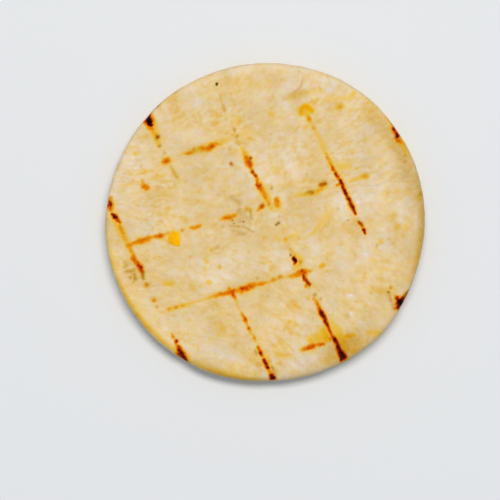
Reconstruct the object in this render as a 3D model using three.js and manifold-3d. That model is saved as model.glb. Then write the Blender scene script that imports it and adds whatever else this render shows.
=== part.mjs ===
// Arepa: a flat round cake of white corn dough, pressed by hand and grilled on a square wire rack.
// It is one solid, in millimetres. +Z is up, the cake rests on z = 0, and its box is centred on Z.

import * as THREE from 'three';
import { mergeVertices } from 'three/addons/utils/BufferGeometryUtils.js';
import Module from 'manifold-3d';

// The cake.
const CAKE_RADIUS = 59.85;
const CAKE_THICKNESS = 10;
const EDGE_WIDTH = 4.2; // how far the rounded edge reaches in from the outline
const EDGE_SQUARENESS = 3.4; // 2 would be an ellipse, more is squarer
const SHOULDER = { height: 0.3, radius: 49, spread: 6 }; // the low ring left by the palms
const BELLY_DRIFT = 0.5; // how far the widest line of the edge wanders up and down

// The outline isn't a true circle: it has a few broad lobes. Angles are in degrees from +X.
const OUTLINE_LOBES = [
  { count: 2, height: 0.28, peak: 45 },
  { count: 3, height: 0.2, peak: -52 },
  { count: 4, height: 0.2, peak: 43 },
  { count: 5, height: 0.1, peak: 33 },
  { count: 6, height: 0.12, peak: 8 },
];

// Long low swells across the top, where the dough was patted flat.
const TOP_SWELLS = [
  { height: 0.2, length: 63, angle: 20, phase: 0.6 },
  { height: 0.14, length: 41, angle: 115, phase: 2.1 },
  { height: 0.09, length: 29, angle: 70, phase: 4.0 },
];

// The rack's wires, as distances from its centre line. They press both faces in turn.
const WIRE_RADIUS = 1.1;
const WIRE_LENGTH = 140;
const WIRE_SIDES = 10;
const LONG_WIRES = { angle: -64.5, offsets: [-49.4, -22.8, 4.0, 31.5, 58.7] };
const CROSS_WIRES = { angle: 16.5, offsets: [-49.9, -21.8, 5.5, 32.7, 59.9] };
const TOP_RACK = { x: 0.2, y: 0.4, turn: 0, press: 0.3 };
const UNDER_RACK = { x: 14, y: -8, turn: 14, press: 0.3 };

// Facets.
const STEPS_ROUND = 84;
const STEPS_ACROSS_TOP = 9;
const STEPS_ACROSS_UNDERSIDE = 3;
const STEPS_OVER_EDGE = 12;

const radians = THREE.MathUtils.degToRad;

function outlineRadius(angle) {
  let radius = CAKE_RADIUS;
  for (const lobe of OUTLINE_LOBES) {
    radius += lobe.height * Math.cos(lobe.count * (angle - radians(lobe.peak)));
  }
  return radius;
}

function topRelief(x, y) {
  const fromShoulder = (Math.hypot(x, y) - SHOULDER.radius) / SHOULDER.spread;
  let relief = SHOULDER.height * Math.exp(-fromShoulder * fromShoulder);
  for (const swell of TOP_SWELLS) {
    const along = x * Math.cos(radians(swell.angle)) + y * Math.sin(radians(swell.angle));
    relief += swell.height * Math.sin((2 * Math.PI * along) / swell.length + swell.phase);
  }
  return relief;
}

// Half of the cake's section, from the middle of the underside round the edge to the middle of the top.
function sectionPoints() {
  const flat = CAKE_RADIUS - EDGE_WIDTH;
  const half = CAKE_THICKNESS / 2;
  const points = [];
  for (let i = 0; i < STEPS_ACROSS_UNDERSIDE; i += 1) {
    points.push(new THREE.Vector2((flat * i) / STEPS_ACROSS_UNDERSIDE, 0));
  }
  for (let i = 0; i <= STEPS_OVER_EDGE; i += 1) {
    const turn = Math.PI * (i / STEPS_OVER_EDGE - 0.5);
    const outward = Math.max(0, Math.cos(turn)) ** (2 / EDGE_SQUARENESS);
    const upward = Math.sign(Math.sin(turn)) * Math.abs(Math.sin(turn)) ** (2 / EDGE_SQUARENESS);
    points.push(new THREE.Vector2(flat + EDGE_WIDTH * outward, half + half * upward));
  }
  for (let i = STEPS_ACROSS_TOP - 1; i >= 0; i -= 1) {
    points.push(new THREE.Vector2((flat * i) / STEPS_ACROSS_TOP, CAKE_THICKNESS));
  }
  return points;
}

// The turned section, with its outline, edge and top made as uneven as hand-pressed dough.
function pressedCake() {
  const geometry = new THREE.LatheGeometry(sectionPoints(), STEPS_ROUND);
  geometry.rotateX(Math.PI / 2);
  const position = geometry.attributes.position;
  for (let i = 0; i < position.count; i += 1) {
    const angle = Math.atan2(position.getY(i), position.getX(i));
    const scale = outlineRadius(angle) / CAKE_RADIUS;
    const x = position.getX(i) * scale;
    const y = position.getY(i) * scale;
    const rise = position.getZ(i) / CAKE_THICKNESS;
    const middle = 4 * rise * (1 - rise);
    const drift = BELLY_DRIFT * middle * Math.sin(2 * angle + 1);
    position.setXYZ(i, x, y, position.getZ(i) + drift + rise * rise * topRelief(x, y));
  }
  return geometry;
}

// One family of parallel wires of a rack, lying at the height of their middle line.
function rackWires(family, rack, height) {
  const angle = radians(family.angle + rack.turn);
  return family.offsets.map((offset) => {
    const wire = new THREE.CylinderGeometry(WIRE_RADIUS, WIRE_RADIUS, WIRE_LENGTH, WIRE_SIDES);
    wire.rotateZ(angle - Math.PI / 2);
    wire.translate(rack.x - offset * Math.sin(angle), rack.y + offset * Math.cos(angle), height);
    return wire;
  });
}

const wasm = await Module();
wasm.setup();

function solidOf(geometry) {
  const bare = geometry.clone();
  bare.deleteAttribute('normal');
  bare.deleteAttribute('uv');
  const merged = mergeVertices(bare, 1e-4);
  return new wasm.Manifold(
    new wasm.Mesh({
      numProp: 3,
      vertProperties: new Float32Array(merged.attributes.position.array),
      triVerts: new Uint32Array(merged.index.array),
    }),
  );
}

function geometryOf(solid) {
  const mesh = solid.getMesh();
  const geometry = new THREE.BufferGeometry();
  geometry.setAttribute('position', new THREE.BufferAttribute(mesh.vertProperties, 3));
  geometry.setIndex(new THREE.BufferAttribute(mesh.triVerts, 1));
  return geometry;
}

// Both faces keep the shallow grooves where they lay on the wires.
function grilledCake() {
  const topHeight = CAKE_THICKNESS + WIRE_RADIUS - TOP_RACK.press;
  const underHeight = UNDER_RACK.press - WIRE_RADIUS;
  const wires = [
    ...rackWires(LONG_WIRES, TOP_RACK, topHeight),
    ...rackWires(CROSS_WIRES, TOP_RACK, topHeight),
    ...rackWires(LONG_WIRES, UNDER_RACK, underHeight),
    ...rackWires(CROSS_WIRES, UNDER_RACK, underHeight),
  ];
  let cake = solidOf(pressedCake());
  for (const wire of wires) {
    cake = cake.subtract(solidOf(wire));
  }
  return geometryOf(cake);
}

// The cake's box sits over the origin, with its underside on z = 0.
function centredOverOrigin(geometry) {
  geometry.computeBoundingBox();
  const { min, max } = geometry.boundingBox;
  geometry.translate(-(min.x + max.x) / 2, -(min.y + max.y) / 2, -min.z);
  geometry.computeVertexNormals();
  return geometry;
}

const grilledDough = new THREE.MeshStandardMaterial({ color: 0xe2c388, roughness: 0.62, metalness: 0 });

const arepaCake = new THREE.Mesh(centredOverOrigin(grilledCake()), grilledDough);
arepaCake.name = 'arepa_cake';

const arepa = new THREE.Group();
arepa.add(arepaCake);

export default arepa;
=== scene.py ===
# %% [markdown]
# # A grilled arepa
# An arepa is a flat round cake of cooked white corn flour and water, pressed between two palms and grilled
# on a wire rack over coals. The cake's lengths are in millimetres, times MM, and those of the table and
# the lamp are in metres.

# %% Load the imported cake
import math

import bmesh
import bpy
import numpy as np
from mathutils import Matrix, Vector, noise


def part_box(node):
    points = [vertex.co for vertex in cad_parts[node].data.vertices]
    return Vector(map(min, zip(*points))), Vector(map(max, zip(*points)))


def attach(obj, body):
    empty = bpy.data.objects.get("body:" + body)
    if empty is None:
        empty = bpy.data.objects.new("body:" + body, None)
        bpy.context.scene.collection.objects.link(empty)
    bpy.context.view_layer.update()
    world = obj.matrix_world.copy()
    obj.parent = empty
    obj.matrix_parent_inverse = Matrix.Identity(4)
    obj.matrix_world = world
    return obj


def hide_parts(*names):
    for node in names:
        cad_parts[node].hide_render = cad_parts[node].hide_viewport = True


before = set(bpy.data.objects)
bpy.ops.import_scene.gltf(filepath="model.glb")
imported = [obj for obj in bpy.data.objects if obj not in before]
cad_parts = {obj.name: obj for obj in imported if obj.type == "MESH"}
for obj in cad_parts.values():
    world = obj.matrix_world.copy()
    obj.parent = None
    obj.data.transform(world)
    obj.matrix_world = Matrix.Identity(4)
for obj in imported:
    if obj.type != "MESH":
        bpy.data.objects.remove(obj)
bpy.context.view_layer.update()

MM = 0.001
cake_low, cake_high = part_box("arepa_cake")
print("packed cake, mm:", [round(side / MM, 1) for side in cake_high - cake_low])

# %% [markdown]
# ## Camera
# The cake is seen from straight above. A long lens far away keeps the rounded edge from spreading, so that
# the outline and the top are drawn at the same scale. The view's width is set at the height of the cake's
# widest line.

# %% The camera, straight above
VIEW_WIDTH = 187.5 * MM
VIEW_CENTRE = (-5.6 * MM, -10.4 * MM)
WIDEST_HEIGHT = 5.0 * MM

camera_data = bpy.data.cameras.new("overhead_camera")
camera_data.lens = 200.0
camera_data.sensor_width = 36.0
camera_data.clip_end = 10.0
camera = bpy.data.objects.new("overhead_camera", camera_data)
distance = VIEW_WIDTH * camera_data.lens / camera_data.sensor_width
camera.location = (*VIEW_CENTRE, WIDEST_HEIGHT + distance)
bpy.context.scene.collection.objects.link(camera)
bpy.context.scene.camera = camera
print("camera height, m:", round(camera.location.z, 3))

# %% [markdown]
# ## Floor and light
# The table is a plain pale sheet. One large soft lamp hangs nearly overhead, leaning to the far side, so a
# narrow shadow falls to the near side. Its face is an oval, wider across the cake than along it. The lamp
# is a little warm and the pale room that fills its shadow a little cool, so the two are white together and
# the shadow stays grey. The Standard view shows colours as they are.

# %% A pale table and soft studio light
FLOOR_SIZE = 3.0
TABLE_COLOUR = (0.748, 0.763, 0.774, 1.0)


def linear(red, green, blue):
    """A colour picked on a screen, 0 to 255, as the light values that nodes work with."""
    shares = (red / 255, green / 255, blue / 255)
    return [s / 12.92 if s <= 0.04045 else ((s + 0.055) / 1.055) ** 2.4 for s in shares] + [1.0]


def plain_material(name, colour, roughness):
    material = bpy.data.materials.new(name)
    material.use_nodes = True
    shader = material.node_tree.nodes["Principled BSDF"]
    shader.inputs["Base Color"].default_value = colour
    shader.inputs["Roughness"].default_value = roughness
    return material


bm = bmesh.new()
bmesh.ops.create_grid(bm, x_segments=1, y_segments=1, size=FLOOR_SIZE / 2)
table_mesh = bpy.data.meshes.new("table_top")
bm.to_mesh(table_mesh)
bm.free()
table_top = bpy.data.objects.new("table_top", table_mesh)
table_mesh.materials.append(plain_material("pale_table", TABLE_COLOUR, roughness=0.7))
bpy.context.scene.collection.objects.link(table_top)

LAMP_WIDTH, LAMP_DEPTH = 2.0, 0.9
LAMP_DISTANCE = 3.0
LAMP_TILT = math.radians(18.5)
LAMP_SIDE = math.radians(78)
LAMP_WATTS = 61.0
LAMP_COLOUR = (1.06, 1.0, 0.94)
SKY_STRENGTH = 0.42
SKY_COLOUR = (0.90, 1.0, 1.11, 1.0)

lamp_data = bpy.data.lights.new("softbox", "AREA")
lamp_data.shape = "ELLIPSE"
lamp_data.size = LAMP_WIDTH
lamp_data.size_y = LAMP_DEPTH
lamp_data.energy = LAMP_WATTS
lamp_data.color = LAMP_COLOUR
lamp = bpy.data.objects.new("softbox", lamp_data)
toward_lamp = Vector((
    math.sin(LAMP_TILT) * math.cos(LAMP_SIDE),
    math.sin(LAMP_TILT) * math.sin(LAMP_SIDE),
    math.cos(LAMP_TILT),
))
lamp.location = LAMP_DISTANCE * toward_lamp
lamp.rotation_euler = toward_lamp.to_track_quat("Z", "Y").to_euler()
bpy.context.scene.collection.objects.link(lamp)

world = bpy.data.worlds.new("pale_room")
world.use_nodes = True
world.node_tree.nodes["Background"].inputs["Color"].default_value = SKY_COLOUR
world.node_tree.nodes["Background"].inputs["Strength"].default_value = SKY_STRENGTH
bpy.context.scene.world = world
bpy.context.scene.view_settings.view_transform = "Standard"
print("light: one softbox and the room")

# %% [markdown]
# ## The cake's form
# The dough was rolled into a ball and pressed flat, so the cake is a disc whose edge bulges and whose
# outline is only nearly round. It could be turned on a lathe, but then the faces would crowd at the middle.
# Here one square sheet is wrapped over the top and round the edge, ring by ring, and a coarser one closes
# the underside.

# %% Two square sheets, joined at the rim of the underside
CAKE_RADIUS = 59.85
CAKE_THICKNESS = 10.0
EDGE_WIDTH = 4.2
EDGE_SQUARENESS = 3.4
FLAT_RADIUS = CAKE_RADIUS - EDGE_WIDTH
UNDERSIDE_GAP = 0.5
TOP_SQUARES = 272
EDGE_SHARE = 0.12

bm = bmesh.new()
bmesh.ops.create_grid(bm, x_segments=TOP_SQUARES, y_segments=TOP_SQUARES, size=1.0)
for vert in bm.verts:
    vert.co.z = 1.0 # for now, so that the two sheets can be told apart
top_count = len(bm.verts)
bmesh.ops.create_grid(bm, x_segments=TOP_SQUARES // 2, y_segments=TOP_SQUARES // 2, size=1.0)
underside_faces = [face for face in bm.faces if face.verts[0].co.z < 0.5]
bmesh.ops.reverse_faces(bm, faces=underside_faces)
bmesh.ops.bridge_loops(bm, edges=[edge for edge in bm.edges if edge.is_boundary])
print("sheets:", len(bm.verts), "points,", len(bm.faces), "faces")

# %% [markdown]
# Each ring of squares becomes a ring of the cake. The share of the way out says where the ring lies on the
# section: across the flat top first, then round the edge, whose section is a squared-off ellipse.

# %% Wrap the squares into a disc
def ring_and_angle(x, y):
    """How far out a point of a square sheet lies, 0 to 1, and its direction round the disc."""
    share = np.maximum(np.abs(x), np.abs(y))
    safe = np.where(share > 0, share, 1.0)
    sideways = np.abs(x) >= np.abs(y)
    angle = np.where(
        sideways,
        np.where(x < 0, math.pi, 0.0) + math.pi / 4 * (y / safe) * np.where(x < 0, -1, 1),
        np.where(y < 0, -math.pi / 2, math.pi / 2) - math.pi / 4 * (x / safe) * np.where(y < 0, -1, 1),
    )
    return share, angle


def top_section(share):
    """Radius and height of the top sheet's section, from the middle of the top to under the edge."""
    over_edge = np.clip((share - (1 - EDGE_SHARE)) / EDGE_SHARE, 0, 1)
    turn = math.pi / 2 - math.pi * over_edge
    outward = np.abs(np.cos(turn)) ** (2 / EDGE_SQUARENESS)
    upward = np.sign(np.sin(turn)) * np.abs(np.sin(turn)) ** (2 / EDGE_SQUARENESS)
    flat = FLAT_RADIUS * np.minimum(share / (1 - EDGE_SHARE), 1)
    return flat + EDGE_WIDTH * outward, CAKE_THICKNESS / 2 * (1 + upward)


points = np.array([vert.co for vert in bm.verts])
share, angle = ring_and_angle(points[:, 0], points[:, 1])
on_top = np.arange(len(points)) < top_count
top_radius, top_height = top_section(share)
radius = np.where(on_top, top_radius, (FLAT_RADIUS - UNDERSIDE_GAP) * share)
height = np.where(on_top, top_height, 0.0)
print("rings across the top:", round(TOP_SQUARES / 2 * (1 - EDGE_SHARE)))

# %% [markdown]
# The outline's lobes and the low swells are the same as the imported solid's, so the two keep the same size.

# %% Lobes, shoulder and swells
OUTLINE_LOBES = [(2, 0.28, 45), (3, 0.20, -52), (4, 0.20, 43), (5, 0.10, 33), (6, 0.12, 8)]
TOP_SWELLS = [(0.20, 63, 20, 0.6), (0.14, 41, 115, 2.1), (0.09, 29, 70, 4.0)]
SHOULDER_HEIGHT, SHOULDER_RADIUS, SHOULDER_SPREAD = 0.3, 49.0, 6.0
BELLY_DRIFT = 0.5

outline = np.full(len(points), CAKE_RADIUS)
for count, lobe, peak in OUTLINE_LOBES:
    outline += lobe * np.cos(count * (angle - math.radians(peak)))
x = radius * outline / CAKE_RADIUS * np.cos(angle)
y = radius * outline / CAKE_RADIUS * np.sin(angle)

relief = SHOULDER_HEIGHT * np.exp(-(((np.hypot(x, y) - SHOULDER_RADIUS) / SHOULDER_SPREAD) ** 2))
for swell, length, heading, phase in TOP_SWELLS:
    along = x * math.cos(math.radians(heading)) + y * math.sin(math.radians(heading))
    relief += swell * np.sin(2 * math.pi * along / length + phase)
rise = height / CAKE_THICKNESS
height = height + BELLY_DRIFT * 4 * rise * (1 - rise) * np.sin(2 * angle + 1) + rise**2 * relief

points = np.column_stack((x, y, height))
points[:, :2] -= (points[:, :2].min(axis=0) + points[:, :2].max(axis=0)) / 2
for vert, place in zip(bm.verts, points):
    vert.co = place * MM
bm.normal_update()
normals = np.array([vert.normal for vert in bm.verts])
print("body, mm:", np.round(np.ptp(points, axis=0), 2))

# %% [markdown]
# ## Where the rack touched
# The rack is a grid of straight wires about 27 mm apart. The dough touched it only here and there, so each
# wire left a broken line: pale gold where it was warm, then orange, brown and black where it was hottest.
# Each mark is a stroke, a list of points (x, y, width, strength) from the rack's centre, or a lone point
# where it is one spot. Width is how far the colour reaches to either side, and strength is per cent. The
# strokes are painted into the mesh's points, as a brush would, and the material reads them. An image
# texture could hold them as well, but it would blur close up and need the cake unwrapped.

# %% A stroke along the rim
RIM_RADIUS = 59.6
RIM_STEP = 7 # degrees
RIM_FADE = 0.12


def rim_stroke(first, last, inset, width, strength):
    """A stroke along the rim, between two directions in degrees, that fades out at its ends."""
    steps = max(2, round((last - first) / RIM_STEP))
    stroke = []
    for i in range(steps + 1):
        angle = math.radians(first + (last - first) * i / steps)
        fade = math.sin(math.pi * (RIM_FADE + (1 - 2 * RIM_FADE) * i / steps))
        reach = RIM_RADIUS - inset
        stroke.append((reach * math.cos(angle), reach * math.sin(angle), width, strength * fade))
    return stroke


print("a rim stroke of 90 degrees has", len(rim_stroke(0, 90, 0, 1, 1)), "points")

# %% [markdown]
# The burnt marks are listed wire by wire, because each is different: a formula for the rack
# would burn every wire alike. Where a mark bends or fades, its stroke has another point.

# %% The scorch marks, wire by wire
LONG_WIRE_MARKS = [
    # first wire, along the left edge
    [(-57.8, 8.6, 1, 34), (-57.9, 7.7, 1.1, 46)],
    [(-58.3, 6.9, 1.1, 80), (-58.2, 5.9, 1.2, 88), (-57.9, 5.1, 1.1, 60), (-58, 4.2, 0.9, 40)],
    [(-57.1, 2.6, 0.7, 90), (-56.3, 1.7, 1.05, 115), (-55.3, 0.5, 0.75, 84), (-54.3, -0.6, 0.7, 58)],
    [(-54.3, -1.7, 0.95, 34), (-53.8, -3, 1.05, 37), (-53.3, -4.6, 1, 38)],
    [(-53, -5.7, 1.1, 24), (-51.8, -7.6, 1.2, 25)], [(-50.6, -10.1, 1.05, 30), (-49.9, -11.6, 0.9, 29)],
    [(-49.5, -12.8, 1, 36), (-49.3, -14.1, 1.15, 60), (-48.6, -15, 1, 58), (-48, -15.8, 1.05, 64)],
    [(-48, -15.8, 1.1, 64), (-47.2, -16.8, 1.2, 70), (-46.6, -17.6, 1.3, 80), (-46.1, -18.6, 1, 54)],
    [(-46, -19.6, 0.8, 36), (-45.7, -21.3, 0.7, 20)], [(-41.9, -29, 0.8, 22), (-41.5, -29.8, 0.85, 32)],
    [(-35, -42, 0.7, 22), (-34.4, -43.3, 0.85, 38)],
    [(-32.6, -47.1, 0.95, 93), (-31.9, -48.8, 1.15, 95), (-31, -50.3, 1.3, 93), (-29.8, -52.2, 0.9, 86)],
    [(-33, -49.2, 0.8, 66), (-32, -51, 0.9, 74)],
    [(-32.3, -48.2, 1.1, 96), (-31.5, -49.8, 1.5, 100), (-30.6, -51.2, 1.3, 100)],
    (-51, -9.2, 1.4, 42), (-44.4, -23.8, 1.1, 24), (-40.5, -32, 0.6, 24), (-33.4, -44.8, 0.85, 100),
    (-33, -46, 0.85, 40),
    # second wire
    [(-44.9, 38.3, 0.9, 88), (-44.1, 39.3, 1, 140)],
    [(-44.1, 38.8, 1.1, 150), (-43.8, 37.8, 1.25, 160), (-43.3, 36.8, 1.2, 160), (-42.9, 36, 0.95, 140)],
    [(-42.9, 39.9, 0.9, 48), (-42.4, 38.3, 0.9, 44), (-42, 36.6, 0.8, 38)],
    [(-45.5, 37.4, 0.7, 60), (-44.4, 36, 0.7, 64)],
    [(-43.4, 35, 1.2, 44), (-42.3, 34.2, 1.1, 38), (-42, 32.8, 0.9, 26)],
    [(-41.6, 32.8, 0.9, 28), (-40.9, 31.8, 0.8, 26)], [(-40.5, 30.3, 0.7, 22), (-39.8, 28.4, 0.7, 20)],
    [(-37.5, 22.3, 1.5, 48), (-36.6, 22.5, 1.5, 50)],
    [(-14, -24.4, 0.6, 20), (-13.4, -25.5, 0.85, 42), (-12.4, -26.3, 1, 72)],
    [(-12.2, -27, 0.8, 64), (-11.9, -28, 0.75, 60), (-11.3, -29, 0.6, 40)],
    [(-11.3, -29, 0.8, 28), (-10.4, -31.4, 0.9, 19), (-9.4, -33.6, 0.8, 17), (-8.8, -34.7, 0.8, 30)],
    [(-8.8, -34.7, 0.8, 34), (-8.2, -35.9, 0.8, 40), (-7.6, -37, 0.85, 72), (-7, -38.6, 0.65, 26)],
    [(-7, -38.4, 0.8, 26), (-5.6, -41.4, 0.8, 30), (-5, -42.4, 0.7, 22), (-4.4, -43.2, 0.8, 32)],
    [(-4.2, -43.7, 0.85, 36), (-3.6, -45.2, 0.6, 16)],
    [(-2.8, -47.1, 0.65, 60), (-2.3, -48.2, 0.7, 60), (-1.8, -49.3, 0.85, 100), (-1.2, -50.5, 0.7, 56)],
    [(-0.7, -51.8, 0.7, 90), (0.1, -53.1, 0.85, 96), (0.4, -53.8, 0.8, 90), (0.9, -54.9, 0.7, 92)],
    [(0.9, -54.9, 0.9, 40), (1.4, -56, 0.8, 34), (1.8, -57, 0.9, 44)],
    [(2.2, -57.5, 1, 100), (2.7, -58.6, 1.2, 125)],
    (-40.3, 31.3, 0.75, 56), (-6.2, -40, 0.75, 66),
    # third wire
    [(-8.6, 26.7, 0.7, 18), (-7.6, 25, 0.8, 26)],
    [(-7.2, 23.4, 1.3, 48), (-6.7, 22.4, 1.35, 57), (-6.2, 21.6, 1.45, 67), (-5.8, 20.7, 1.1, 62)],
    [(-5.7, 20.7, 0.9, 60), (-5.3, 19.5, 0.8, 42)],
    [(-5, 18.4, 0.6, 94), (-4.3, 17.6, 0.6, 66), (-3.7, 16.8, 0.7, 90)],
    [(-3.2, 15.7, 0.8, 38), (-3, 14.6, 0.8, 50)],
    [(-2.4, 13.4, 1.1, 68), (-1.9, 12.3, 1, 52), (-1, 11, 1.1, 38), (-0.5, 10, 1.1, 40)],
    [(-3.3, 13.6, 0.6, 84), (-2.8, 12.4, 0.6, 80)], [(-0.3, 9.6, 1, 34), (0, 8.7, 0.9, 42)],
    [(0.5, 7.9, 0.95, 26), (1.2, 6.5, 0.8, 20)], [(7.5, -6.9, 1, 24), (8.2, -8, 0.7, 14)],
    [(9.2, -10.6, 0.8, 18), (10.8, -12.4, 0.8, 24)],
    [(10.6, -14, 0.8, 130), (11.2, -14.9, 0.7, 130), (11.1, -15.6, 0.5, 90), (10.8, -16.1, 0.5, 56)],
    [(14.1, -20.2, 0.7, 80), (14.8, -22, 0.75, 84), (15.5, -22.8, 0.65, 80), (16.5, -23.8, 0.65, 82)],
    [(17.9, -28.9, 0.6, 36), (19, -30.3, 0.75, 42), (19.8, -32, 0.85, 60), (20.4, -33.3, 0.85, 68)],
    [(20.4, -33.2, 0.85, 72), (20.8, -34.3, 1.1, 115), (21.6, -35.5, 1, 105), (22, -36.3, 0.85, 88)],
    [(22, -36.3, 0.85, 86), (22.4, -37.7, 0.9, 90), (22.9, -38.8, 0.8, 86), (23.5, -39.8, 0.75, 87)],
    [(23.5, -39.8, 0.75, 85), (24.1, -41.2, 0.65, 72), (24.6, -42.4, 0.6, 62), (24.9, -43, 0.7, 68)],
    [(24.9, -43, 0.7, 70), (25.6, -43.8, 0.9, 100), (26.6, -45.8, 1, 95), (27.4, -47.8, 1.05, 95)],
    [(27.4, -47.8, 1.05, 100), (28.2, -49.6, 1.2, 110), (28.6, -51.8, 1.05, 110)],
    [(27.8, -48.6, 1.15, 108), (28.9, -50.4, 1.4, 116), (29.6, -51.2, 1.15, 125)],
    (2.1, 4.6, 0.5, 30), (13.6, -18.5, 0.75, 84), (15.2, -24.2, 0.75, 42), (16.3, -25, 0.6, 30),
    (24.2, -44.2, 0.8, 52),
    # fourth wire
    [(15.6, 39.6, 0.9, 18), (16.2, 38, 1, 38), (16.6, 37.3, 0.9, 26)],
    [(17.2, 36.2, 0.8, 14), (18, 34.7, 0.9, 20)],
    [(18.6, 33.9, 1, 11), (20.2, 31.4, 1.1, 9), (20.8, 29.8, 1.1, 12), (21.6, 27.4, 1, 9)],
    [(22.2, 25.8, 0.9, 16), (22.8, 24, 0.9, 30), (23.6, 22.9, 0.9, 26), (24.3, 21.6, 0.9, 34)],
    [(24.3, 21.6, 0.7, 36), (24.9, 20.5, 0.6, 60), (25.3, 19.3, 0.7, 70), (25.8, 18.4, 0.6, 58),
     (26.3, 17.6, 0.8, 80), (26.7, 16.8, 0.75, 82), (27.2, 16, 0.65, 66)],
    [(27.8, 15.2, 0.75, 84), (28.5, 13.7, 0.75, 90), (29.2, 12, 0.8, 92), (29.9, 10.6, 0.9, 102),
     (30.4, 9.4, 0.75, 90), (31, 8.2, 0.8, 90), (31.8, 6.4, 1, 98), (32.4, 5.2, 0.85, 92),
     (33, 3.9, 0.7, 88), (33.7, 2.6, 0.55, 80)],
    [(34.4, 0.3, 0.6, 16), (34.9, -0.5, 0.65, 52), (35.8, -1.5, 0.7, 56), (36.3, -2.4, 0.6, 40)],
    [(36.6, -3.4, 0.72, 102), (37.2, -4.8, 0.5, 84)],
    [(48.7, -28.3, 0.65, 84), (49.2, -29.4, 0.9, 90), (50.6, -29.9, 1.3, 145), (50.3, -31.2, 1.2, 125)],
    [(50.3, -31.2, 1.2, 120), (50.2, -32.4, 1.1, 86)], [(49.4, -30.4, 1, 90), (49.6, -32.6, 0.9, 90)],
    [(51.4, -29.2, 0.9, 105), (52.3, -28.1, 0.7, 60), (53.4, -26.4, 0.6, 26)],
    (46.8, -24.9, 0.7, 20),
    # fifth wire, on the right edge
    [(44.6, 40.2, 0.8, 12), (46, 38.2, 0.9, 18), (47.4, 36, 0.9, 28)],
    [(47.9, 34.7, 0.9, 90), (48.6, 33.4, 1, 70), (49.4, 31.9, 1, 110)],
    [(49.1, 31, 1.15, 52), (49.8, 30.1, 1.3, 50), (50.4, 29.3, 1.1, 40)],
    [(51.4, 28.4, 0.8, 22), (52.6, 26.6, 0.8, 15)],
]

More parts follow.
